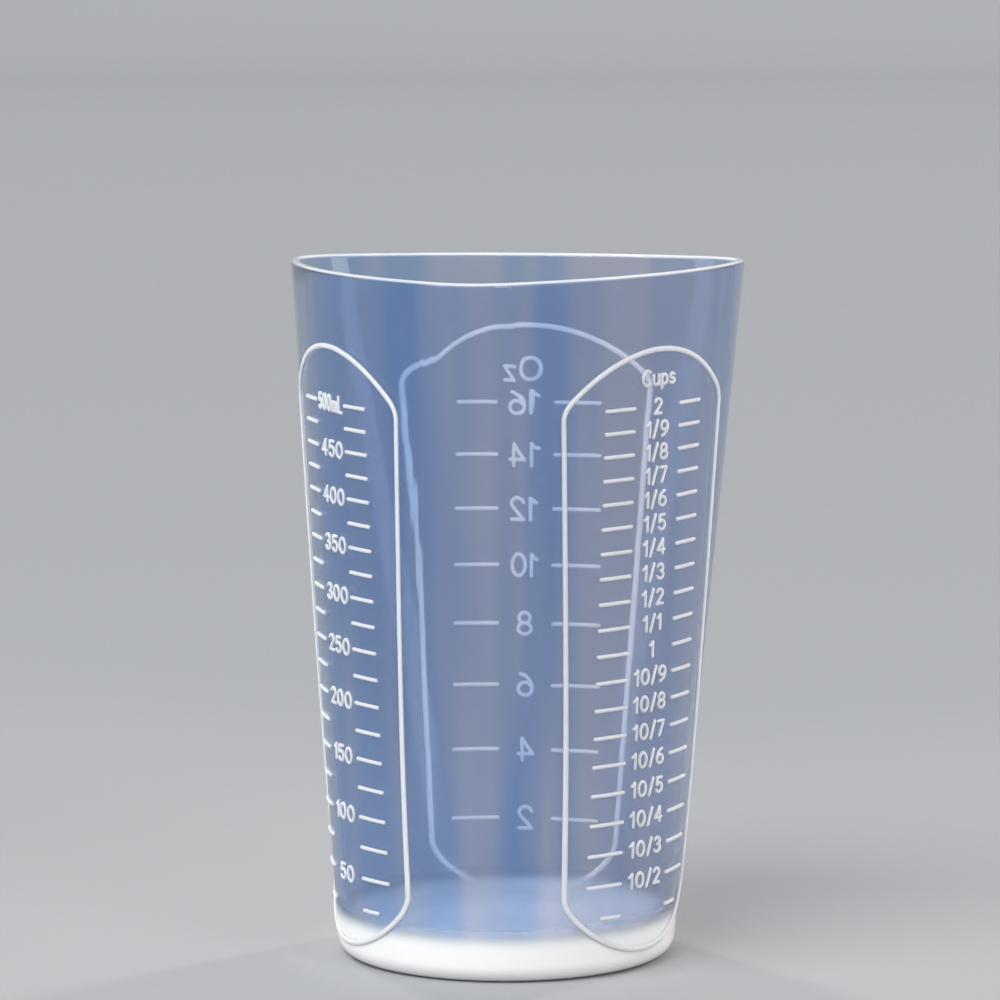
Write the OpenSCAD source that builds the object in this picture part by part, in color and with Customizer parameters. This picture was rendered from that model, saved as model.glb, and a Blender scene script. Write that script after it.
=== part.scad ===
// Silicone mixing cup with a round base and a softly three-cornered mouth.
// Each of the mouth's corners pours, and each side between two corners carries one scale:
// millilitres on the left of the front corner, cups on its right and fluid ounces at the back.
// The origin is the middle of the base on the table, +Z is up, and the front corner points to -Y.

/* [Cup] */
// Height from the table to the rim
cup_height = 144; // [125:0.5:180]
// Diameter of the round base, above its rounded edge
base_d = 70.8; // [62:0.2:82]
// Reach of the mouth's corners from the cup's middle
mouth_corner_reach = 53.8; // [49:0.1:60]
// Radius of the mouth's corners
mouth_corner_r = 12; // [9:0.1:19]
// Radius of the mouth's long, slightly bulging sides
mouth_side_r = 110; // [80:1:200]
// Thickness of the wall
wall = 2; // [1.4:0.1:3.4]
// Thickness of the solid floor
floor_t = 5.2; // [3:0.1:9]

/* [Rounded edges] */
// Rounding of the outer edge that stands on the table
foot_round = 4; // [2:0.1:6]
// Rounding inside, between the wall and the floor
floor_round = 6; // [3:0.1:10]
// Rounding of the two edges of the rim
rim_round = 0.9; // [0.3:0.1:1.2]

/* [Scales] */
// Volume between two rows of the millilitre scale, and of the cups scale, in mL
ml_step = 25; // [10:5:50]
// Volume of one US fluid ounce in mL
fluid_ounce = 29.57; // [28.41:0.01:29.57]
// Fluid ounces between two rows of that scale
ounce_step = 2; // [1:1:4]
// Height left free between the highest row and the rim
head_room = 26; // [24:0.5:34]
// Distance from a panel's middle line to the inner ends of its rows
row_inner = 7.6; // [5:0.1:9]
// The same distance on the fluid ounce panel
ounce_row_inner = 5.9; // [5:0.1:9]
// Distance from a panel's middle line to the outer ends of its rows
row_outer = 16.5; // [12:0.1:18]
// Thickness of a row's line
row_w = 0.8; // [0.5:0.1:1.2]

/* [Panel outlines] */
// Width of a panel at its upper shoulders
panel_top_w = 54.4; // [48:0.2:58]
// Width of a panel at its lower shoulders
panel_bottom_w = 41.2; // [36:0.2:44]
// Rise of the arch above the upper shoulders, and fall of the one below the lower shoulders
arch_rise = 11; // [6:0.5:14]
// Rounding of the four shoulders, measured along the outline from each corner
shoulder_round = 2; // [0.5:0.1:4]
// Height of the upper shoulders above the highest millilitre row
shoulder_above_row = 0.6; // [0:0.1:2]
// Gap between the foot's rounding and the lowest point of the outline
outline_above_foot = 0.2; // [0.1:0.1:3]
// Width of the outline
outline_w = 1.1; // [0.6:0.1:1.6]
// Gap that a row keeps from the outline
row_to_outline = 1.6; // [0.8:0.1:3]
// Gap that a row inside the lower arch keeps from it
row_to_arch = 4.6; // [1.6:0.1:6]

/* [Raised marks] */
// Height of every mark above the wall
relief = 0.45; // [0.2:0.05:0.8]
// Share of a mark's width that is left at its top
mark_top_share = 0.7; // [0.4:0.05:0.95]
// Clearance between the wall and the back of a mark
seat_gap = 0.04; // [0.03:0.01:0.1]

/* [Hidden] */
// Angles round the cup are counted from the front corner, and positive to the right of it.
CORNERS = 3;
corner_pitch = 360 / CORNERS;
half_pitch = corner_pitch / 2;
ml_side = -half_pitch;
cups_side = half_pitch;
ounce_side = 180;

// Steps that smooth each curved stretch
corner_steps = 16;
side_steps = 20;
edge_steps = 5;
floor_steps = 6;
outline_side_steps = 16;
arch_steps = 20;
corner_softening = 4;
row_steps = 4;
search_steps = 30;
// Share of a row's width at its two blunt tips, and how far each tip tapers
tip_share = 0.5;
tip_run = 0.35;
// Largest share of the wall that the rounding of one rim edge may take
rim_share = 0.45;
// Angle below which a normal counts as lying on a corner arc's end
same_angle = 0.000001;

// The mouth's outline: corner arcs with their middles at corner_c from the cup's middle, joined
// smoothly by side arcs with their middles at side_c beyond it
base_r = base_d / 2;
corner_c = mouth_corner_reach - mouth_corner_r;
side_c = sqrt(pow(mouth_side_r - mouth_corner_r, 2) - pow(corner_c * sin(half_pitch), 2))
    - corner_c * cos(half_pitch);
// Half of the angle that a corner arc turns through, and half of that of a side arc
corner_half = atan2(side_c * sin(half_pitch), corner_c + side_c * cos(half_pitch));
side_half = half_pitch - corner_half;
rim_edge = min(rim_round, rim_share * wall);

// Share of the way up the sloping wall, from 0 at the foot to 1 at the rim
function share(z) = max(0, (z - foot_round) / (cup_height - foot_round));
function blend(a, b, s) = (1 - s) * a + s * b;
function direction(a) = [sin(a), -cos(a)];

// Point of the wall where its outward normal has angle a, at height z and moved out by o.
// The wall blends the base circle with the mouth, normal by normal, so it is ruled by straight lines.
function wall_point(a, z, o = 0) =
    let (s = share(z), corner = corner_pitch * round(a / corner_pitch), turn = a - corner,
        side = corner + half_pitch * sign(turn),
        flat = abs(turn) > corner_half + same_angle,
        middle = flat ? -s * side_c * direction(side) : s * corner_c * direction(corner),
        r = blend(base_r, flat ? mouth_side_r : mouth_corner_r, s) + o,
        p = middle + r * direction(a))
    [p.x, p.y, z];

// Point on a side of the cup, t millimetres to the right of that side's middle line
function side_point(side, t, z, o = 0) =
    let (s = share(z), side_arc_r = blend(base_r, mouth_side_r, s),
        corner_arc_r = blend(base_r, mouth_corner_r, s), reach = side_arc_r * sin(side_half),
        turn = abs(t) <= reach ? asin(abs(t) / side_arc_r)
            : asin((abs(t) - s * corner_c * sin(half_pitch)) / corner_arc_r))
    wall_point(side + sign(t) * turn, z, o);

// Area inside the cup at height z, as circle sectors about the middles of its arcs
function inside_area(z) =
    let (s = share(z), corner_r = blend(base_r, mouth_corner_r, s) - wall,
        side_r = blend(base_r, mouth_side_r, s) - wall,
        radians = PI / 180)
    CORNERS * (corner_r * (s * corner_c * sin(corner_half) + corner_r * corner_half * radians)
        + side_r * (side_r * side_half * radians - s * side_c * sin(side_half)));

// Volume in mL up to height z. Simpson's rule is exact here, because the area is a square of z.
function inside_volume(z) =
    let (mid = (floor_t + z) / 2, rounding = (1 - PI / 4) * floor_round * floor_round,
        ring = 2 * PI * (base_r - wall) * rounding)
    ((z - floor_t) * (inside_area(floor_t) + 4 * inside_area(mid) + inside_area(z)) / 6 - ring) / 1000;

// Height of a volume in mL, found by halving
function height_of(ml, low = floor_t, high = cup_height, left = search_steps) =
    let (mid = (low + high) / 2)
    left == 0 ? mid
        : inside_volume(mid) < ml ? height_of(ml, mid, high, left - 1)
        : height_of(ml, low, mid, left - 1);

// Rows of the three scales, as many as fit below the head room
scale_volume = inside_volume(cup_height - head_room);
ml_rows = floor(scale_volume / (2 * ml_step)) * 2;
ounce_rows = floor(scale_volume / (fluid_ounce * ounce_step));
ml_heights = [for (i = [1:ml_rows]) height_of(i * ml_step)];
ounce_heights = [for (i = [1:ounce_rows]) height_of(i * ounce_step * fluid_ounce)];

// Panel outline: straight sides between the shoulders, and an arch at each end
upper_shoulder = ml_heights[ml_rows - 1] + shoulder_above_row;
outline_low = foot_round + outline_above_foot + outline_w / 2;
lower_shoulder = outline_low + arch_rise;
function half_width(z) =
    blend(panel_bottom_w, panel_top_w, (z - lower_shoulder) / (upper_shoulder - lower_shoulder)) / 2;
function arch_r(w) = (w * w / 4 + arch_rise * arch_rise) / (2 * arch_rise);
// Drop of an arch of width w below its own top, t from its middle
function arch_drop(w, t) = arch_r(w) - sqrt(pow(arch_r(w), 2) - t * t);
function arch_half_width(w, drop) = sqrt(pow(arch_r(w), 2) - pow(arch_r(w) - drop, 2));
// Points of one corner of the outline between a and b, drawn in from the sharp corner c
function soft_corner(a, c, b) =
    [for (i = [1:corner_softening - 1])
        let (u = i / corner_softening) pow(1 - u, 2) * a + 2 * u * (1 - u) * c + u * u * b];
function side_run(hand, from, to) =
    [for (i = [0:outline_side_steps])
        let (z = blend(from, to, i / outline_side_steps)) [hand * half_width(z), z]];
// Arch from one shoulder to the other, with its top or bottom at z and rise 1 or -1
function arch_run(w, z, rise, hand) =
    [for (i = [0:arch_steps])
        let (t = hand * (w / 2 - shoulder_round) * (1 - 2 * i / arch_steps))
        [t, z - rise * arch_drop(w, t)]];
right_run = side_run(1, lower_shoulder + shoulder_round, upper_shoulder - shoulder_round);
upper_run = arch_run(panel_top_w, upper_shoulder + arch_rise, 1, 1);
left_run = side_run(-1, upper_shoulder - shoulder_round, lower_shoulder + shoulder_round);
lower_run = arch_run(panel_bottom_w, outline_low, -1, -1);
function last(path) = path[len(path) - 1];
outline = concat(
    right_run, soft_corner(last(right_run), [panel_top_w / 2, upper_shoulder], upper_run[0]),
    upper_run, soft_corner(last(upper_run), [-panel_top_w / 2, upper_shoulder], left_run[0]),
    left_run, soft_corner(last(left_run), [-panel_bottom_w / 2, lower_shoulder], lower_run[0]),
    lower_run, soft_corner(last(lower_run), [panel_bottom_w / 2, lower_shoulder], right_run[0]));

// Distance from the middle line to the outer end of a row, which stops short of the outline
function row_end(z) =
    let (edge = z >= lower_shoulder ? half_width(z) - row_to_outline
        : arch_half_width(panel_bottom_w, max(z - outline_low, 0)) - row_to_arch)
    min(row_outer, edge - outline_w / 2);

// Solid skinned over rings of equally many points, either closed on itself or capped at both ends
module skin(rings, closed = false) {
    n = len(rings[0]);
    count = len(rings);
    bands = closed ? count : count - 1;
    sides = [for (j = [0:bands - 1], i = [0:n - 1])
        let (next = (i + 1) % n, k = (j + 1) % count)
        [j * n + i, k * n + i, k * n + next, j * n + next]];
    caps = closed ? [] : [[for (i = [0:n - 1]) i], [for (i = [n - 1:-1:0]) (count - 1) * n + i]];
    polyhedron([for (ring = rings) each ring], concat(sides, caps), convexity = 6);
}

// Normals at which every ring of the cup has a point: corner arc, side arc, three times round
normals = [for (k = [0:CORNERS - 1])
    each concat(
        [for (i = [0:corner_steps - 1])
            corner_pitch * k + corner_half * (2 * i / corner_steps - 1)],
        [for (i = [0:side_steps - 1])
            corner_pitch * k + corner_half + side_half * 2 * i / side_steps])];
function cup_ring(z, o) = [for (a = normals) wall_point(a, z, o)];

// Angles of the rings round a quarter turn of an edge
function quarter(steps) = [for (i = [0:steps]) 90 * i / steps];

module cup_body() {
    foot = [for (a = quarter(edge_steps))
        cup_ring(foot_round * (1 - cos(a)), -foot_round * (1 - sin(a)))];
    rim_outside = [for (a = quarter(edge_steps))
        cup_ring(cup_height - rim_edge * (1 - sin(a)), -rim_edge * (1 - cos(a)))];
    rim_inside = [for (a = quarter(edge_steps))
        cup_ring(cup_height - rim_edge * (1 - cos(a)), -wall + rim_edge * (1 - sin(a)))];
    inner_floor = [for (a = quarter(floor_steps))
        cup_ring(floor_t + floor_round * (1 - sin(a)), -wall - floor_round * (1 - cos(a)))];
    color([0.66, 0.75, 0.86, 0.55])
        skin(concat(foot, rim_outside, rim_inside, inner_floor));
}

// Raised line along points [t, z, width] of a side, which lies on the wall's curve
function unit(v) = v / norm(v);
function mark_ring(side, point, ahead) =
    let (across = [ahead.y, -ahead.x] * point.z / 2)
    [for (edge = [[1, 0], [mark_top_share, 1], [-mark_top_share, 1], [-1, 0]])
        side_point(side, point.x + across.x * edge.x, point.y + across.y * edge.x,
            edge.y == 1 ? relief : seat_gap)];

module raised_outline(side) {
    n = len(outline);
    rings = [for (i = [0:n - 1])
        let (before = unit(outline[i] - outline[(i + n - 1) % n]),
            after = unit(outline[(i + 1) % n] - outline[i]),
            ahead = unit(before + after), mitre = 1 / (ahead * after))
        mark_ring(side, [outline[i].x, outline[i].y, outline_w * mitre], ahead)];
    skin(rings, closed = true);
}

// One column of rows: hand is -1 on the left of the panel's middle line and 1 on the right
module row_column(side, heights, hand, inner) {
    for (z = heights) {
        start = hand * inner;
        end = hand * row_end(z);
        ahead = [sign(end - start), 0];
        tip = [ahead.x * tip_run * row_w, 0];
        body = [for (i = [0:row_steps])
            let (t = blend(start + tip.x, end - tip.x, i / row_steps)) [t, z, row_w]];
        stations = concat([[start, z, row_w * tip_share]], body, [[end, z, row_w * tip_share]]);
        skin([for (p = stations) mark_ring(side, p, ahead)]);
    }
}

module ml_panel_outline() {
    color([0.94, 0.97, 1.0]) raised_outline(ml_side);
}
module ml_rows_left() {
    color([0.94, 0.97, 1.0]) row_column(ml_side, ml_heights, -1, row_inner);
}
module ml_rows_right() {
    color([0.94, 0.97, 1.0]) row_column(ml_side, ml_heights, 1, row_inner);
}
module cups_panel_outline() {
    color([0.99, 0.98, 0.94]) raised_outline(cups_side);
}
module cups_rows_left() {
    color([0.99, 0.98, 0.94]) row_column(cups_side, ml_heights, -1, row_inner);
}
module cups_rows_right() {
    color([0.99, 0.98, 0.94]) row_column(cups_side, ml_heights, 1, row_inner);
}
module ounce_panel_outline() {
    color([0.93, 0.92, 0.95]) raised_outline(ounce_side);
}
module ounce_rows_left() {
    color([0.93, 0.92, 0.95]) row_column(ounce_side, ounce_heights, -1, ounce_row_inner);
}
module ounce_rows_right() {
    color([0.93, 0.92, 0.95]) row_column(ounce_side, ounce_heights, 1, ounce_row_inner);
}

cup_body();
ml_panel_outline();
ml_rows_left();
ml_rows_right();
cups_panel_outline();
cups_rows_left();
cups_rows_right();
ounce_panel_outline();
ounce_rows_left();
ounce_rows_right();
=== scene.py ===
"""A translucent silicone mixing cup with raised white scales on its sides, on a pale floor."""

import math
from collections import namedtuple

import bmesh
import bpy
import numpy as np
from mathutils import Matrix, Vector


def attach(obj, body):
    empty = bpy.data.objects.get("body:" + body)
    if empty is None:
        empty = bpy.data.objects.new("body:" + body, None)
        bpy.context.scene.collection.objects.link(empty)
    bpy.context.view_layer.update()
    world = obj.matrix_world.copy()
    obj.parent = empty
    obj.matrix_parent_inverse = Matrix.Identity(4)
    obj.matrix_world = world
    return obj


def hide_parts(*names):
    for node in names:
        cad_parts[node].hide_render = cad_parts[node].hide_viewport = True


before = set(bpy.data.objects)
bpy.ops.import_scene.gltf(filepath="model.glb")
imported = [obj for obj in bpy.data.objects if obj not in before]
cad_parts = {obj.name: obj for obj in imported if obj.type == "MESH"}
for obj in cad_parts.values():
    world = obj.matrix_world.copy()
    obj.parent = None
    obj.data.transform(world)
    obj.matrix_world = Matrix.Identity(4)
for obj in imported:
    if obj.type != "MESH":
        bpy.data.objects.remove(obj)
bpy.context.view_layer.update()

MM = 0.001
CUBIC_MM_PER_ML = 1000
# A length or an angle too small to matter
TINY = 1e-9

# Driving sizes of the cup, in millimetres, as in the part's source
CUP_HEIGHT = 144.0
BASE_R = 35.4
CORNER_REACH = 53.8
CORNER_R = 12.0
SIDE_R = 110.0
WALL = 2.0
FLOOR_T = 5.2
FOOT_ROUND = 4.0
FLOOR_ROUND = 6.0
RIM_ROUND = 0.9

# Scales: volumes in mL, and places on a panel in millimetres
ML_STEP = 25.0
ML_ROWS = 20
FLUID_OUNCE = 29.57
OUNCE_STEP = 2
OUNCE_ROWS = 8
ROW_INNER = 7.6
OUNCE_ROW_INNER = 5.9
ROW_OUTER = 16.5
ROW_W = 0.8
PANEL_TOP_W = 54.4
PANEL_BOTTOM_W = 41.2
ARCH_RISE = 11.0
SHOULDER_ROUND = 2.0
SHOULDER_ABOVE_ROW = 0.6
OUTLINE_ABOVE_FOOT = 0.2
OUTLINE_W = 1.1
ROW_TO_OUTLINE = 1.6
ROW_TO_ARCH = 4.6
RELIEF = 0.45
# A mark's back lies this far inside the wall's surface, as it is moulded onto it
SEAT = 0.02

# Sides of the cup by the angle of their middle, counted from the front corner to the right
ML_SIDE = -60.0
CUPS_SIDE = 60.0
OUNCE_SIDE = 180.0


# The shape of the wall


def blend(a, b, s):
    return (1 - s) * a + s * b


def direction(a):
    return Vector((math.sin(a), -math.cos(a)))


CORNERS = 3
PITCH = math.tau / CORNERS
HALF_PITCH = PITCH / 2
CORNER_C = CORNER_REACH - CORNER_R
SIDE_C = (
    math.sqrt((SIDE_R - CORNER_R) ** 2 - (CORNER_C * math.sin(HALF_PITCH)) ** 2)
    - CORNER_C * math.cos(HALF_PITCH)
)
CORNER_HALF = math.atan2(SIDE_C * math.sin(HALF_PITCH), CORNER_C + SIDE_C * math.cos(HALF_PITCH))
SIDE_HALF = HALF_PITCH - CORNER_HALF


def share(z):
    """Share of the way up the sloping wall, from 0 at the foot to 1 at the rim."""
    return max(0.0, (z - FOOT_ROUND) / (CUP_HEIGHT - FOOT_ROUND))


def radii(z, inset=0.0):
    """Radii of the corner arcs and the side arcs at height z, less inset."""
    s = share(z)
    return blend(BASE_R, CORNER_R, s) - inset, blend(BASE_R, SIDE_R, s) - inset


def wall_point(a, z, out=0.0):
    """Point in metres of the wall where its outward normal has angle a, moved out by out."""
    s = share(z)
    corner = PITCH * round(a / PITCH)
    turn = a - corner
    if abs(turn) > CORNER_HALF + TINY:
        side = corner + math.copysign(HALF_PITCH, turn)
        middle, radius = -s * SIDE_C * direction(side), SIDE_R
    else:
        middle, radius = s * CORNER_C * direction(corner), CORNER_R
    p = middle + (blend(BASE_R, radius, s) + out) * direction(a)
    return Vector((p.x, p.y, z)) * MM


def side_point(side, t, z, out=0.0):
    """Point in metres on a side of the cup, t millimetres to the right of its middle line."""
    corner_r, side_r = radii(z)
    if abs(t) <= side_r * math.sin(SIDE_HALF):
        turn = math.asin(abs(t) / side_r)
    else:
        turn = math.asin((abs(t) - share(z) * CORNER_C * math.sin(HALF_PITCH)) / corner_r)
    return wall_point(math.radians(side) + math.copysign(turn, t), z, out)


def inside_area(z):
    s = share(z)
    corner_r, side_r = radii(z, WALL)
    corner = corner_r * (s * CORNER_C * math.sin(CORNER_HALF) + corner_r * CORNER_HALF)
    side = side_r * (side_r * SIDE_HALF - s * SIDE_C * math.sin(SIDE_HALF))
    return CORNERS * (corner + side)


def inside_volume(z):
    """Volume in mL up to height z, by Simpson's rule, less the rounding at the floor."""
    rounding = math.tau * (BASE_R - WALL) * (1 - math.pi / 4) * FLOOR_ROUND**2
    areas = inside_area(FLOOR_T) + 4 * inside_area((FLOOR_T + z) / 2) + inside_area(z)
    return ((z - FLOOR_T) * areas / 6 - rounding) / CUBIC_MM_PER_ML


HALVINGS = 40


def height_of(volume):
    low, high = FLOOR_T, CUP_HEIGHT
    for _ in range(HALVINGS):
        mid = (low + high) / 2
        if inside_volume(mid) < volume:
            low = mid
        else:
            high = mid
    return mid


ML_HEIGHTS = [height_of(ML_STEP * (i + 1)) for i in range(ML_ROWS)]
OUNCE_HEIGHTS = [height_of(OUNCE_STEP * FLUID_OUNCE * (i + 1)) for i in range(OUNCE_ROWS)]


# Meshes

# Vertices closer than this, in metres, are one
MERGE_DISTANCE = 1e-7


def new_object(name, verts, faces):
    mesh = bpy.data.meshes.new(name)
    mesh.from_pydata(verts, [], faces)
    mesh.validate()
    bm = bmesh.new()
    bm.from_mesh(mesh)
    bmesh.ops.remove_doubles(bm, verts=bm.verts, dist=MERGE_DISTANCE)
    bmesh.ops.recalc_face_normals(bm, faces=bm.faces)
    bm.to_mesh(mesh)
    bm.free()
    mesh.polygons.foreach_set("use_smooth", [True] * len(mesh.polygons))
    obj = bpy.data.objects.new(name, mesh)
    bpy.context.scene.collection.objects.link(obj)
    return obj


def skin(rings, closed=False, capped=True):
    """Vertices and faces of a solid skinned over rings of equally many points."""
    n, count = len(rings[0]), len(rings)
    verts = [p for ring in rings for p in ring]
    faces = []
    for j in range(count if closed else count - 1):
        k = (j + 1) % count
        for i in range(n):
            m = (i + 1) % n
            faces.append((j * n + i, k * n + i, k * n + m, j * n + m))
    if capped and not closed:
        faces.append(tuple(range(n)))
        faces.append(tuple((count - 1) * n + i for i in reversed(range(n))))
    return verts, faces


CORNER_STEPS = 30
SIDE_STEPS = 34
EDGE_STEPS = 8
WALL_RINGS = 30
# Flat discs under the foot and on the floor are closed by rings at these shares of their radius
DISC_RINGS = (0.97, 0.6, 0.25)


def quarter(steps):
    return [math.pi / 2 * i / steps for i in range(steps + 1)]


def cup_normals():
    angles = []
    for k in range(CORNERS):
        corner = PITCH * k
        angles += [corner + CORNER_HALF * (2 * i / CORNER_STEPS - 1) for i in range(CORNER_STEPS)]
        angles += [corner + CORNER_HALF + SIDE_HALF * 2 * i / SIDE_STEPS for i in range(SIDE_STEPS)]
    return angles


# Length in millimetres over which the shading passes from a corner's curve to a side's
EASE_LENGTH = 16.0
EASE_STEPS = 720
EASE_PASSES = 2


def eased_turns(z, angles):
    """How far to turn the wall's shading normals at height z, so that no seam shows."""
    corner_r, side_r = radii(z)
    knots = [(-CORNER_HALF, 0.0)]
    for _ in range(CORNERS):
        for half, radius in ((CORNER_HALF, corner_r), (SIDE_HALF, side_r)):
            a, run = knots[-1]
            knots.append((a + 2 * half, run + 2 * half * radius))
    turns, runs = np.array(knots).T
    around = runs[-1]
    even = np.arange(EASE_STEPS) / EASE_STEPS * around
    drift = np.interp(even, runs, turns) - even / around * math.tau
    width = max(1, round(EASE_LENGTH / 2 / around * EASE_STEPS))
    for _ in range(EASE_PASSES):
        drift = sum(np.roll(drift, k - width // 2) for k in range(width)) / width
    places = np.interp(angles, turns, runs)
    eased = np.interp(places, even, drift, period=around) + places / around * math.tau
    return (eased - np.array(angles)).tolist()


def ease_shading(cup, heights, angles):
    """Turn the normals that the cup is shaded by, and leave its vertices where they are."""
    normals = []
    for j, z in enumerate(heights):
        for i, turn in enumerate(eased_turns(z, angles)):
            normal = cup.data.vertices[j * len(angles) + i].normal
            normals.append(Matrix.Rotation(turn, 3, "Z") @ normal)
    cup.data.normals_split_custom_set_from_vertices(normals)


def make_cup():
    """The silicone moulding: foot, outer wall, rim, inner wall and floor in one closed skin."""
    angles = cup_normals()
    edge = quarter(EDGE_STEPS)
    top, low = CUP_HEIGHT - RIM_ROUND, FLOOR_T + FLOOR_ROUND
    foot_r, floor_r = BASE_R - FOOT_ROUND, BASE_R - WALL - FLOOR_ROUND
    # Heights and distances out from the wall's outer surface, from under the foot to the floor
    profile = [(0.0, -FOOT_ROUND - foot_r * k) for k in DISC_RINGS]
    profile += [
        (FOOT_ROUND * (1 - math.cos(a)), -FOOT_ROUND * (1 - math.sin(a))) for a in edge
    ]
    profile += [(blend(FOOT_ROUND, top, i / WALL_RINGS), 0.0) for i in range(1, WALL_RINGS)]
    profile += [(top + RIM_ROUND * math.sin(a), -RIM_ROUND * (1 - math.cos(a))) for a in edge]
    profile += [
        (top + RIM_ROUND * math.cos(a), -WALL + RIM_ROUND * (1 - math.sin(a))) for a in edge
    ]
    profile += [(blend(top, low, i / WALL_RINGS), -WALL) for i in range(1, WALL_RINGS)]
    profile += [
        (FLOOR_T + FLOOR_ROUND * (1 - math.sin(a)), -WALL - FLOOR_ROUND * (1 - math.cos(a)))
        for a in edge
    ]
    profile += [(FLOOR_T, -WALL - FLOOR_ROUND - floor_r * k) for k in reversed(DISC_RINGS)]
    rings = [[wall_point(a, z, out) for a in angles] for z, out in profile]
    cup = new_object("cup_silicone", *skin(rings))
    ease_shading(cup, [z for z, _ in profile], angles)
    return cup


# Cross-section of a raised mark: share of the half width, and share of the relief
BEAD = [(1.0, 0.0), (0.97, 0.45), (0.8, 0.8), (0.45, 0.97), (0.0, 1.0)]
BEAD += [(-x, y) for x, y in reversed(BEAD[:-1])]
# Round ends of a mark, as angles from its tip
CAP_TURNS = (0.35, 0.8, 1.2)
# A mark widens where it bends, by one over the cosine of half the bend, which is this at least
LEAST_COSINE = 0.625


def mark_ring(side, middle, ahead, half_w, height):
    across = Vector((ahead.y, -ahead.x)) * half_w
    ring = []
    for x, y in BEAD:
        t, z = middle.x + across.x * x, middle.y + across.y * x
        ring.append(side_point(side, t, z, blend(-SEAT, height, y)))
    return ring


def mark(side, path, width, closed=False):
    """A raised line with round ends along a path of (t, z) points on a side of the cup."""
    points = [Vector(p) for p in path]
    n = len(points)
    half = width / 2
    rings = []
    for i, p in enumerate(points):
        if closed:
            before, after = points[i] - points[i - 1], points[(i + 1) % n] - points[i]
        else:
            before = p - points[i - 1] if i else points[1] - p
            after = points[i + 1] - p if i < n - 1 else before
        before, after = before.normalized(), after.normalized()
        ahead = (before + after).normalized()
        mitre = 1.0 / max(ahead.dot(after), LEAST_COSINE)
        rings.append((p, ahead, half * mitre, RELIEF))
    if not closed:
        caps = [(math.cos(a), math.sin(a), RELIEF * math.sqrt(math.sin(a))) for a in CAP_TURNS]
        (first, back, *_), (last, ahead, *_) = rings[0], rings[-1]
        before = [(first - back * half * c, back, half * s, rise) for c, s, rise in caps]
        after = [(last + ahead * half * c, ahead, half * s, rise) for c, s, rise in reversed(caps)]
        rings = before + rings + after
    return skin([mark_ring(side, *ring) for ring in rings], closed)


def joined(name, parts):
    """One object of several separate solids."""
    verts, faces = [], []
    for v, f in parts:
        base = len(verts)
        verts += v
        faces += [tuple(base + i for i in face) for face in f]
    return new_object(name, verts, faces)


# Panel outlines

UPPER_SHOULDER = ML_HEIGHTS[-1] + SHOULDER_ABOVE_ROW
OUTLINE_LOW = FOOT_ROUND + OUTLINE_ABOVE_FOOT + OUTLINE_W / 2
LOWER_SHOULDER = OUTLINE_LOW + ARCH_RISE
OUTLINE_SIDE_STEPS = 40
OUTLINE_ARCH_STEPS = 44
SHOULDER_STEPS = 6
ROW_STEPS = 8


def half_width(z):
    up = (z - LOWER_SHOULDER) / (UPPER_SHOULDER - LOWER_SHOULDER)
    return blend(PANEL_BOTTOM_W, PANEL_TOP_W, up) / 2


def arch_r(w):
    return (w * w / 4 + ARCH_RISE**2) / (2 * ARCH_RISE)


def arch_drop(w, t):
    return arch_r(w) - math.sqrt(arch_r(w) ** 2 - t * t)


def side_run(hand, start, end):
    """Points up or down one side of the outline, hand being 1 on the right and -1 on the left."""
    heights = [blend(start, end, i / OUTLINE_SIDE_STEPS) for i in range(OUTLINE_SIDE_STEPS + 1)]
    return [(hand * half_width(z), z) for z in heights]


def arch_run(w, z, hand):
    """Points along an arch of width w with its middle at height z, hand being -1 for the lower."""
    reach = hand * (w / 2 - SHOULDER_ROUND)
    ts = [reach * (1 - 2 * i / OUTLINE_ARCH_STEPS) for i in range(OUTLINE_ARCH_STEPS + 1)]
    return [(t, z - hand * arch_drop(w, t)) for t in ts]


def soft_corner(a, corner, b):
    a, corner, b = Vector(a), Vector(corner), Vector(b)
    shares = [i / SHOULDER_STEPS for i in range(1, SHOULDER_STEPS)]
    return [(1 - u) ** 2 * a + 2 * u * (1 - u) * corner + u * u * b for u in shares]


def outline_path():
    low, high = LOWER_SHOULDER + SHOULDER_ROUND, UPPER_SHOULDER - SHOULDER_ROUND
    right = side_run(1, low, high)
    upper = arch_run(PANEL_TOP_W, UPPER_SHOULDER + ARCH_RISE, 1)
    left = side_run(-1, high, low)
    lower = arch_run(PANEL_BOTTOM_W, OUTLINE_LOW, -1)
    path = right + soft_corner(right[-1], (PANEL_TOP_W / 2, UPPER_SHOULDER), upper[0])
    path += upper + soft_corner(upper[-1], (-PANEL_TOP_W / 2, UPPER_SHOULDER), left[0])
    path += left + soft_corner(left[-1], (-PANEL_BOTTOM_W / 2, LOWER_SHOULDER), lower[0])
    return path + lower + soft_corner(lower[-1], (PANEL_BOTTOM_W / 2, LOWER_SHOULDER), right[0])


def row_end(z):
    if z >= LOWER_SHOULDER:
        edge = half_width(z) - ROW_TO_OUTLINE
    else:
        r = arch_r(PANEL_BOTTOM_W)
        edge = math.sqrt(r**2 - (r - max(z - OUTLINE_LOW, 0.0)) ** 2) - ROW_TO_ARCH
    return min(ROW_OUTER, edge - OUTLINE_W / 2)


def row_path(hand, inner, z):
    start, end = inner + ROW_W / 2, row_end(z) - ROW_W / 2
    return [(hand * blend(start, end, i / ROW_STEPS), z) for i in range(ROW_STEPS + 1)]


# Numerals and unit words: each glyph's width and its strokes, in a box one unit high


def arc(cx, cy, rx, ry, start, end, steps):
    """Elliptical arc between two angles in degrees, counted from the right, anticlockwise."""
    angles = [math.radians(blend(start, end, i / steps)) for i in range(steps + 1)]
    return [(cx + rx * math.cos(a), cy + ry * math.sin(a)) for a in angles]


def loop(cx, cy, rx, ry, steps=24):
    return arc(cx, cy, rx, ry, 90, 450, steps)


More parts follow.
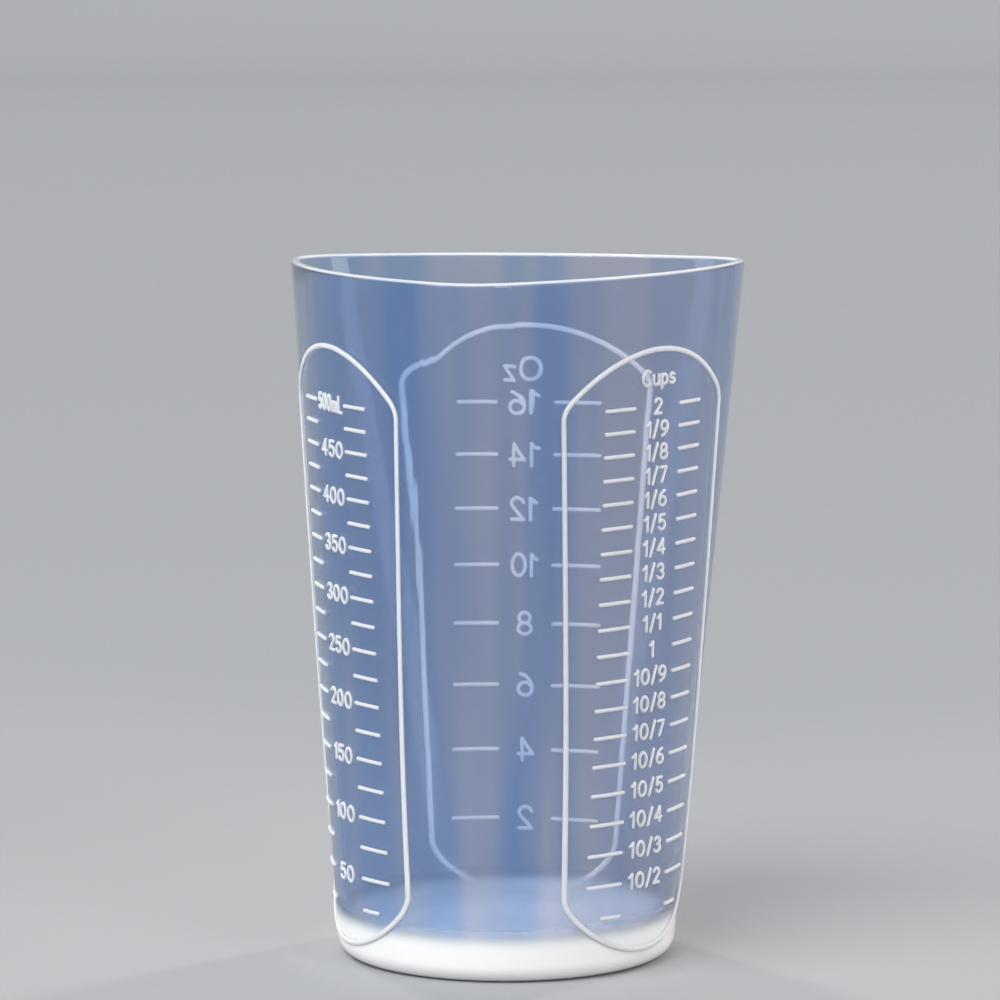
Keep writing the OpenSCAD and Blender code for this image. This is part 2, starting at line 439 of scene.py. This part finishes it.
GLYPHS = {
    "0": (0.56, [loop(0.28, 0.5, 0.28, 0.5)]),
    "1": (0.24, [[(0.0, 0.78), (0.12, 0.86), (0.22, 1.0), (0.22, 0.5), (0.22, 0.0)]]),
    "2": (
        0.54,
        [arc(0.27, 0.74, 0.26, 0.26, 165, -25, 12) + [(0.3, 0.36), (0.02, 0.0), (0.54, 0.0)]],
    ),
    "3": (
        0.54,
        [arc(0.26, 0.755, 0.24, 0.245, 155, -90, 12) + arc(0.26, 0.265, 0.27, 0.265, 90, -160, 14)],
    ),
    "4": (0.6, [[(0.44, 0.0), (0.44, 0.5), (0.44, 1.0), (0.0, 0.28), (0.6, 0.28)]]),
    "5": (
        0.54,
        [[(0.5, 1.0), (0.1, 1.0), (0.05, 0.52)] + arc(0.27, 0.32, 0.27, 0.32, 130, -150, 16)],
    ),
    "6": (
        0.56,
        [arc(0.62, 0.36, 0.62, 0.66, 105, 172, 8) + arc(0.28, 0.3, 0.28, 0.3, 180, 540, 22)],
    ),
    "7": (0.52, [[(0.0, 1.0), (0.26, 1.0), (0.52, 1.0), (0.34, 0.5), (0.16, 0.0)]]),
    "8": (0.56, [loop(0.28, 0.755, 0.235, 0.245), loop(0.28, 0.26, 0.28, 0.26)]),
    "9": (
        0.56,
        [arc(-0.06, 0.64, 0.62, 0.66, -75, -8, 8) + arc(0.28, 0.7, 0.28, 0.3, 0, 360, 22)],
    ),
    "/": (0.34, [[(0.0, -0.08), (0.17, 0.5), (0.34, 1.08)]]),
    "m": (
        0.72,
        [
            [(0.0, 0.0), (0.0, 0.3), (0.0, 0.62)],
            arc(0.18, 0.42, 0.18, 0.2, 180, 0, 8) + [(0.36, 0.2), (0.36, 0.0)],
            arc(0.54, 0.42, 0.18, 0.2, 180, 0, 8) + [(0.72, 0.2), (0.72, 0.0)],
        ],
    ),
    "L": (0.46, [[(0.0, 1.0), (0.0, 0.5), (0.0, 0.0), (0.46, 0.0)]]),
    "C": (0.6, [arc(0.34, 0.5, 0.34, 0.5, 48, 312, 18)]),
    "u": (
        0.44,
        [[(0.0, 0.66)] + arc(0.22, 0.22, 0.22, 0.22, 180, 360, 10) + [(0.44, 0.66), (0.44, 0.0)]],
    ),
    "p": (0.46, [[(0.0, 0.66), (0.0, 0.2), (0.0, -0.28)], loop(0.23, 0.33, 0.23, 0.33)]),
    "s": (
        0.42,
        [arc(0.21, 0.5, 0.19, 0.16, 30, 270, 10) + arc(0.21, 0.17, 0.21, 0.17, 90, -150, 10)],
    ),
    "O": (0.72, [loop(0.36, 0.5, 0.36, 0.5, 28)]),
    "z": (0.44, [[(0.0, 0.64), (0.44, 0.64), (0.0, 0.0), (0.44, 0.0)]]),
}


# Step of the grid that a glyph is meshed on, in millimetres, and its height share at the edge
GLYPH_GRID = 0.13
GLYPH_EDGE = 0.4


def nearest(points, lines):
    """Nearest point on the lines for each point, and the distance to it."""
    starts = np.array([p for line in lines for p in line[:-1]])
    along = np.array([p for line in lines for p in line[1:]]) - starts
    reach = points[:, None] - starts
    u = np.clip((reach * along).sum(2) / (along**2).sum(1), 0.0, 1.0)
    gaps = reach - u[..., None] * along
    far = np.sqrt((gaps**2).sum(2))
    best = far.argmin(1)
    rows = np.arange(len(points))
    return points - gaps[rows, best], far[rows, best]


def glyph_faces(kept, on_edge, open_cell):
    """Faces over a grid of points, quads inside and triangles along the edge."""
    faces = []
    for i in range(kept.shape[0] - 1):
        for j in range(kept.shape[1] - 1):
            corners = [(i, j), (i + 1, j), (i + 1, j + 1), (i, j + 1)]
            used = [c for c in corners if kept[c]]
            outside = all(on_edge[c] for c in used) and open_cell[i, j]
            if len(used) > 2 and not outside:
                faces.append([a * kept.shape[1] + b for a, b in used])
    return faces


def glyph_solid(side, lines, half):
    """One raised solid over all strokes of a glyph, without seams where they cross."""
    ends = np.array([p for line in lines for p in line])
    low = ends.min(0) - half - GLYPH_GRID
    shape = tuple(np.ceil((ends.max(0) + half + GLYPH_GRID - low) / GLYPH_GRID).astype(int) + 1)
    cells = np.stack(np.meshgrid(*(np.arange(n) for n in shape), indexing="ij"), 2).reshape(-1, 2)
    points = low + GLYPH_GRID * cells
    foot, far = nearest(points, lines)
    on_edge = abs(far - half) <= GLYPH_GRID / 2
    way = (points - foot) / np.maximum(far, TINY)[:, None]
    points = np.where(on_edge[:, None], foot + way * half, points)
    kept = (far < half) | on_edge
    open_cell = nearest(low + GLYPH_GRID * (cells + 0.5), lines)[1] > half
    faces = glyph_faces(*(flags.reshape(shape) for flags in (kept, on_edge, open_cell)))
    used = sorted({i for face in faces for i in face})
    place = {i: k for k, i in enumerate(used)}
    top = [[place[i] for i in face] for face in faces]
    drop = (1 - GLYPH_EDGE**2) * np.clip(np.where(on_edge, 1.0, far / half), 0.0, 1.0) ** 2
    rise = (RELIEF * np.sqrt(1 - drop)).tolist()
    points = points.tolist()
    verts = [side_point(side, *points[i], rise[i]) for i in used]
    verts += [side_point(side, *points[i], -SEAT) for i in used]
    n = len(used)
    edges = {(f[k], f[(k + 1) % len(f)]) for f in top for k in range(len(f))}
    rims = [(a, a + n, b + n, b) for a, b in sorted(edges) if (b, a) not in edges]
    return verts, top + [[i + n for i in reversed(f)] for f in top] + rims


# Height in millimetres, width and gap between glyphs as shares of it, and stroke in millimetres
Lettering = namedtuple("Lettering", "height width gap stroke")
ML_WORD = Lettering(3.1, 1.0, 0.3, 0.65)
ML_NUMBERS = Lettering(3.1, 1.55, 0.28, 0.65)
CUPS_WORD = Lettering(3.0, 1.36, 0.26, 0.65)
CUPS_NUMBERS = Lettering(3.0, 1.35, 0.3, 0.65)
OUNCE_WORD = Lettering(4.7, 1.1, 0.24, 0.8)
OUNCE_NUMBERS = Lettering(4.7, 1.18, 0.24, 0.8)

# How far the middle of a text is right of the panel's middle, and above the top row
ML_WORD_RIGHT = 0.4
ML_NUMBERS_RIGHT = 0.7
CUPS_WORD_RIGHT = -0.1
CUPS_WORD_UP = 5.9
CUPS_NUMBERS_RIGHT = -0.3
OUNCE_WORD_RIGHT = 0.4
OUNCE_WORD_UP = 7.2


def label(side, text, t, z, lettering):
    """Raised glyphs of a word or number round the point (t, z)."""
    height, width, gap, stroke = lettering
    widths = [GLYPHS[c][0] for c in text]
    parts = []
    x = -(sum(widths) + gap * (len(text) - 1)) / 2
    for c, w in zip(text, widths):
        lines = [
            [(t + (x + px) * height * width, z + (py - 0.5) * height) for px, py in line]
            for line in GLYPHS[c][1]
        ]
        parts.append(glyph_solid(side, lines, stroke / 2))
        x += w + gap
    return parts


def ml_labels():
    """A number at every other row, and the unit with the top one."""
    parts = label(ML_SIDE, "500mL", ML_WORD_RIGHT, ML_HEIGHTS[-1], ML_WORD)
    for i in range(1, ML_ROWS - 1, 2):
        text = str(int(ML_STEP * (i + 1)))
        parts += label(ML_SIDE, text, ML_NUMBERS_RIGHT, ML_HEIGHTS[i], ML_NUMBERS)
    return parts


def cups_labels():
    """The unit, and 10/2 to 10/9, 1, 1/1 to 1/9 and 2 from the second row up."""
    parts = label(CUPS_SIDE, "Cups", CUPS_WORD_RIGHT, ML_HEIGHTS[-1] + CUPS_WORD_UP, CUPS_WORD)
    for i, z in enumerate(ML_HEIGHTS[1:], 2):
        tens, units = divmod(i, 10)
        if units == 0:
            text = str(tens)
        else:
            text = ("1/" if tens else "10/") + str(units)
        parts += label(CUPS_SIDE, text, CUPS_NUMBERS_RIGHT, z, CUPS_NUMBERS)
    return parts


def ounce_labels():
    top = OUNCE_HEIGHTS[-1] + OUNCE_WORD_UP
    parts = label(OUNCE_SIDE, "Oz", OUNCE_WORD_RIGHT, top, OUNCE_WORD)
    for i, z in enumerate(OUNCE_HEIGHTS):
        parts += label(OUNCE_SIDE, str(OUNCE_STEP * (i + 1)), 0.0, z, OUNCE_NUMBERS)
    return parts


# Materials

SILICONE_IOR = 1.41


def material(name):
    mat = bpy.data.materials.new(name)
    mat.use_nodes = True
    return mat, mat.node_tree.nodes, mat.node_tree.links


def noise(nodes, links, scale, detail=2.0, roughness=0.5, stretch=(1, 1, 1)):
    coords = nodes.new("ShaderNodeTexCoord")
    mapping = nodes.new("ShaderNodeMapping")
    mapping.inputs["Scale"].default_value = stretch
    texture = nodes.new("ShaderNodeTexNoise")
    texture.inputs["Scale"].default_value = scale
    texture.inputs["Detail"].default_value = detail
    texture.inputs["Roughness"].default_value = roughness
    links.new(coords.outputs["Object"], mapping.inputs["Vector"])
    links.new(mapping.outputs["Vector"], texture.inputs["Vector"])
    return texture.outputs["Fac"]


def ramp(nodes, links, fac, low, high, span=(0.3, 0.7)):
    """Colour that runs from low to high while fac runs over the span."""
    node = nodes.new("ShaderNodeValToRGB")
    for element, at, value in zip(node.color_ramp.elements, span, (low, high)):
        element.position = at
        element.color = (*value, 1.0)
    links.new(fac, node.inputs["Fac"])
    return node.outputs["Color"]


def grain(nodes, links, shader, scale, low, high):
    """Fine noise, which the roughness follows between low and high."""
    fine = noise(nodes, links, scale)
    rough = ramp(nodes, links, fine, (low, low, low), (high, high, high))
    links.new(rough, shader.inputs["Roughness"])
    return fine


def bump(nodes, links, height, strength, distance):
    node = nodes.new("ShaderNodeBump")
    node.inputs["Strength"].default_value = strength
    node.inputs["Distance"].default_value = distance * MM
    links.new(height, node.inputs["Height"])
    return node.outputs["Normal"]


def mapped(nodes, links, value, source, target):
    """Value remapped smoothly from the source range to the target range, and held outside it."""
    node = nodes.new("ShaderNodeMapRange")
    node.interpolation_type = "SMOOTHSTEP"
    for socket, number in zip(("From Min", "From Max", "To Min", "To Max"), (*source, *target)):
        node.inputs[socket].default_value = number
    links.new(value, node.inputs["Value"])
    return node.outputs["Result"]


def maths(nodes, links, operation, a, b):
    node = nodes.new("ShaderNodeMath")
    node.operation = operation
    links.new(a, node.inputs[0])
    links.new(b, node.inputs[1])
    return node.outputs["Value"]


def scatter(shader, reach):
    """Let light run for reach millimetres under the surface."""
    shader.inputs["Subsurface Weight"].default_value = 1.0
    shader.inputs["Subsurface Radius"].default_value = (1.0, 1.0, 1.0)
    shader.inputs["Subsurface Scale"].default_value = reach * MM
    shader.inputs["IOR"].default_value = SILICONE_IOR


# Heights in millimetres between which the thick base and the rim's edge turn milky
BASE_MILK = (6.2, 13.0)
RIM_MILK = (143.2, 143.8)
# How milky the rim gets, where the base is 1
RIM_MILKINESS = 0.6
MILK_WHITE = (0.97, 0.985, 1.0)
BODY_REACH = 1.0
CLEAR_SHARE = 0.94
# The clear wall's tint runs between these from left to right, over this half width in millimetres,
# as a painted shade on the darker blue left and a painted light on the lighter lilac right, and
# streaks run up it
BLUE_TINT_AND_PAINTED_SHADE = (0.49, 0.64, 0.86)
LILAC_TINT_AND_PAINTED_LIGHT = (0.77, 0.78, 0.86)
PAINTED_LIGHT_SPAN = 42.0
PAINTED_LIGHT_DRIFT = (0.15, 0.85)
STREAK_SCALE = 85.0
STREAK_DETAIL = 1.0
STREAK_STRETCH = (1.0, 1.0, 0.03)
STREAK_SPAN = (0.4, 0.6)
STREAK_DRIFT = (-0.4, 0.4)
# Scale of the surface's grain, with the least and the most roughness
BODY_GRAIN = (240.0, 0.02, 0.05)
# Long shallow ripples in the surface, their depth in millimetres
RIPPLE_SCALE = 60.0
RIPPLE_ROUGHNESS = 0.4
RIPPLE_STRETCH = (1.0, 1.0, 0.15)
RIPPLE_STRENGTH = 0.05
RIPPLE_DEPTH = 1.0
# Colour and density per metre that the silicone gives to light on its way through
DEPTH_COLOUR = (0.45, 0.62, 0.86)
DEPTH_DENSITY = 120.0


def silicone():
    """Clear silicone that is a little hazy, and white where the light runs far through it, with a
    painted shade of blue on its left and a painted light of lilac on its right.
    """
    mat, nodes, links = material("clear_silicone")
    shader = nodes["Principled BSDF"]
    scatter(shader, BODY_REACH)

    split = nodes.new("ShaderNodeSeparateXYZ")
    coords = nodes.new("ShaderNodeTexCoord")
    links.new(coords.outputs["Object"], split.inputs["Vector"])
    height, right = split.outputs["Z"], split.outputs["X"]
    base = mapped(nodes, links, height, [z * MM for z in BASE_MILK], (1.0, 0.0))
    rim = mapped(nodes, links, height, [z * MM for z in RIM_MILK], (0.0, RIM_MILKINESS))
    milk = maths(nodes, links, "MAXIMUM", base, rim)
    clear = mapped(nodes, links, milk, (0.0, 1.0), (CLEAR_SHARE, 0.0))
    links.new(clear, shader.inputs["Transmission Weight"])

    streaks = noise(nodes, links, STREAK_SCALE, STREAK_DETAIL, stretch=STREAK_STRETCH)
    streaks = mapped(nodes, links, streaks, STREAK_SPAN, STREAK_DRIFT)
    # Painted light and shade: the wall is painted darker blue on the left and lighter lilac on the
    # right
    across = mapped(nodes, links, right, (-PAINTED_LIGHT_SPAN * MM, PAINTED_LIGHT_SPAN * MM), PAINTED_LIGHT_DRIFT)
    drift = maths(nodes, links, "ADD", streaks, across)
    mix = nodes.new("ShaderNodeMix")
    mix.data_type = "RGBA"
    mix.inputs["B"].default_value = (*MILK_WHITE, 1.0)
    links.new(milk, mix.inputs["Factor"])
    links.new(ramp(nodes, links, drift, BLUE_TINT_AND_PAINTED_SHADE, LILAC_TINT_AND_PAINTED_LIGHT, (0.0, 1.0)), mix.inputs["A"])
    links.new(mix.outputs["Result"], shader.inputs["Base Color"])

    grain(nodes, links, shader, *BODY_GRAIN)
    ripple = noise(
        nodes, links, RIPPLE_SCALE, roughness=RIPPLE_ROUGHNESS, stretch=RIPPLE_STRETCH
    )
    uneven = bump(nodes, links, ripple, RIPPLE_STRENGTH, RIPPLE_DEPTH)
    links.new(uneven, shader.inputs["Normal"])

    depth = nodes.new("ShaderNodeVolumeAbsorption")
    depth.inputs["Color"].default_value = (*DEPTH_COLOUR, 1.0)
    depth.inputs["Density"].default_value = DEPTH_DENSITY
    links.new(depth.outputs["Volume"], nodes["Material Output"].inputs["Volume"])
    return mat


# White silicone of each scale: its colour runs between two whites, and light runs in it for reach
# millimetres, which is far on the side that is seen through the cup. The three scales are one white
# silicone; the dimmer ml and cups whites are painted shade, and the brighter, warmer ounce white is
# painted light.
White = namedtuple("White", "low high reach")
WHITES_WITH_PAINTED_LIGHT = {
    "ml": White((0.84, 0.88, 0.94), (0.90, 0.94, 0.98), 1.8),
    "cups": White((0.86, 0.87, 0.90), (0.93, 0.93, 0.95), 1.8),
    "ounce": White((0.97, 0.93, 0.87), (1.0, 0.965, 0.91), 8.0),
}
CLOUD_SCALE = 90.0
MARK_GRAIN = (900.0, 0.36, 0.5)
MARK_BUMP_STRENGTH = 0.15
MARK_BUMP_DEPTH = 0.1


def white_marks(name, white):
    mat, nodes, links = material(name)
    shader = nodes["Principled BSDF"]
    scatter(shader, white.reach)
    cloud = noise(nodes, links, CLOUD_SCALE)
    links.new(ramp(nodes, links, cloud, white.low, white.high), shader.inputs["Base Color"])
    fine = grain(nodes, links, shader, *MARK_GRAIN)
    uneven = bump(nodes, links, fine, MARK_BUMP_STRENGTH, MARK_BUMP_DEPTH)
    links.new(uneven, shader.inputs["Normal"])
    return mat


GROUND_COLOUR = (0.36, 0.37, 0.385)
GROUND_ROUGHNESS = 0.8
GROUND_SPECULAR = 0.2


def pale_ground():
    mat, nodes, _ = material("pale_floor")
    shader = nodes["Principled BSDF"]
    shader.inputs["Base Color"].default_value = (*GROUND_COLOUR, 1.0)
    shader.inputs["Roughness"].default_value = GROUND_ROUGHNESS
    shader.inputs["Specular IOR Level"].default_value = GROUND_SPECULAR
    return mat


# The object


def dress(obj, mat, slot, *nodes):
    obj.data.materials.append(mat)
    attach(obj, "root")
    if nodes:
        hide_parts(*nodes)


def build_object():
    dress(make_cup(), silicone(), "clear_silicone", "cup_body")
    scales = (
        ("ml", ML_SIDE, ML_HEIGHTS, ROW_INNER, ml_labels()),
        ("cups", CUPS_SIDE, ML_HEIGHTS, ROW_INNER, cups_labels()),
        ("ounce", OUNCE_SIDE, OUNCE_HEIGHTS, OUNCE_ROW_INNER, ounce_labels()),
    )
    path = outline_path()
    for name, side, heights, inner, labels in scales:
        slot = name + "_marks"
        # Each scale's white differs from the others only by painted light and shade
        mat = white_marks(slot, WHITES_WITH_PAINTED_LIGHT[name])
        outline = joined(name + "_outline_raised", [mark(side, path, OUTLINE_W, closed=True)])
        dress(outline, mat, slot, name + "_panel_outline")
        for hand, word in ((-1, "left"), (1, "right")):
            rows = [mark(side, row_path(hand, inner, z), ROW_W) for z in heights]
            column = joined(f"{name}_rows_{word}_raised", rows)
            dress(column, mat, slot, f"{name}_rows_{word}")
        dress(joined(name + "_numerals", labels), mat, slot)


# Camera, floor and light

# The viewing angle, found from the cup's outline and the ends of its rows, with distances in
# millimetres and angles in radians
CAMERA_DISTANCE = 1003.3
CAMERA_HEIGHT = 213.1
CAMERA_SIDE = -1.1
CAMERA_PITCH = 0.1171
CAMERA_ROLL = -0.0023
CAMERA_TURN = 0.1246
FOCAL_SHARE = 4.8555
SENSOR = 36.0
# The nearest and the farthest that the camera sees, in metres
CAMERA_CLIP = (0.05, 20.0)


def make_camera():
    data = bpy.data.cameras.new("camera")
    data.sensor_width = SENSOR
    data.lens = FOCAL_SHARE * SENSOR
    data.clip_start, data.clip_end = CAMERA_CLIP
    cam = bpy.data.objects.new("camera", data)
    bpy.context.scene.collection.objects.link(cam)
    place = Matrix.Translation((CAMERA_SIDE * MM, -CAMERA_DISTANCE * MM, CAMERA_HEIGHT * MM))
    aim = Matrix.Rotation(math.pi / 2 - CAMERA_PITCH, 4, "X") @ Matrix.Rotation(CAMERA_ROLL, 4, "Z")
    cam.matrix_world = Matrix.Rotation(CAMERA_TURN, 4, "Z") @ place @ aim
    bpy.context.scene.camera = cam


# Radii of the floor's rings, and the backdrop that it bends up into, in metres
FLOOR_RINGS = (0.15, 1.0, 6.0)
BACKDROP_BEND = 1.0
BACKDROP_TOP = 1.8
FLOOR_TURNS = 96
BEND_STEPS = 12


def make_floor():
    """A pale floor that curves up into a backdrop all round, far behind the cup."""
    profile = [(r, 0.0) for r in FLOOR_RINGS]
    for a in quarter(BEND_STEPS)[1:]:
        reach = FLOOR_RINGS[-1] + BACKDROP_BEND * math.sin(a)
        profile.append((reach, BACKDROP_BEND * (1 - math.cos(a))))
    profile.append((FLOOR_RINGS[-1] + BACKDROP_BEND, BACKDROP_TOP))
    turns = [math.tau * i / FLOOR_TURNS for i in range(FLOOR_TURNS)]
    rings = [[Vector((r * math.cos(b), r * math.sin(b), z)) for b in turns] for r, z in profile]
    verts, faces = skin(rings, capped=False)
    faces.append(tuple(range(FLOOR_TURNS)))
    floor = new_object("floor", verts, faces)
    floor.data.materials.append(pale_ground())


# Width and height in metres of the lamps beside the cup
STRIP_SIZE = (0.4, 0.9)
SPOT_BLEND = 0.6
# The two spots behind the cup take in all of it, and light the far scale
BACK_SPOT = {"energy": 70.0, "cone": 12.0, "radius": 0.08, "colour": (1.0, 0.89, 0.77)}
SKY_COLOUR = (0.97, 0.98, 1.0)
SKY_STRENGTH = 0.72


def lamp(name, kind, place, energy, colour):
    """A lamp at a place in metres, aimed at the middle of the cup."""
    data = bpy.data.lights.new(name, kind)
    data.energy = energy
    data.color = colour
    obj = bpy.data.objects.new(name, data)
    bpy.context.scene.collection.objects.link(obj)
    obj.location = place
    middle = Vector((0, 0, CUP_HEIGHT / 2 * MM))
    obj.rotation_euler = (middle - Vector(place)).to_track_quat("-Z", "Y").to_euler()
    return obj


def soft_sun(name, place, strength, spread, colour):
    lamp(name, "SUN", place, strength, colour).data.angle = math.radians(spread)


def strip_light(name, place, energy, colour):
    data = lamp(name, "AREA", place, energy, colour).data
    data.shape = "RECTANGLE"
    data.size, data.size_y = STRIP_SIZE


def spot(name, place, energy, cone, radius, colour):
    """A round lamp with a cone in degrees, which doesn't mirror in the silicone."""
    obj = lamp(name, "SPOT", place, energy, colour)
    obj.data.spot_size = math.radians(cone)
    obj.data.spot_blend = SPOT_BLEND
    obj.data.shadow_soft_size = radius
    obj.visible_glossy = obj.visible_transmission = False


def make_light():
    soft_sun("key", (-0.5, -0.9, 1.3), strength=2.0, spread=40, colour=(1.0, 0.99, 0.97))
    strip_light("left_strip", (-0.9, -0.55, 0.35), energy=3.0, colour=(0.9, 0.96, 1.0))
    strip_light("right_strip", (0.8, -0.75, 0.35), energy=4.0, colour=(1.0, 0.97, 0.98))
    spot("left_back", (-0.95, 1.35, 0.48), **BACK_SPOT)
    spot("right_back", (0.95, 1.35, 0.48), **BACK_SPOT)
    # Its cone just fits the mouth's opening, so it lights the floor inside
    white = (1.0, 1.0, 1.0)
    spot("into_mouth", (0.0, 0.0, 1.65), energy=60.0, cone=2.6, radius=0.02, colour=white)
    world = bpy.data.worlds.new("studio")
    world.use_nodes = True
    background = world.node_tree.nodes["Background"]
    background.inputs["Color"].default_value = (*SKY_COLOUR, 1.0)
    background.inputs["Strength"].default_value = SKY_STRENGTH
    bpy.context.scene.world = world


make_camera()
build_object()
make_floor()
make_light()
bpy.context.scene.view_settings.view_transform = "Standard"
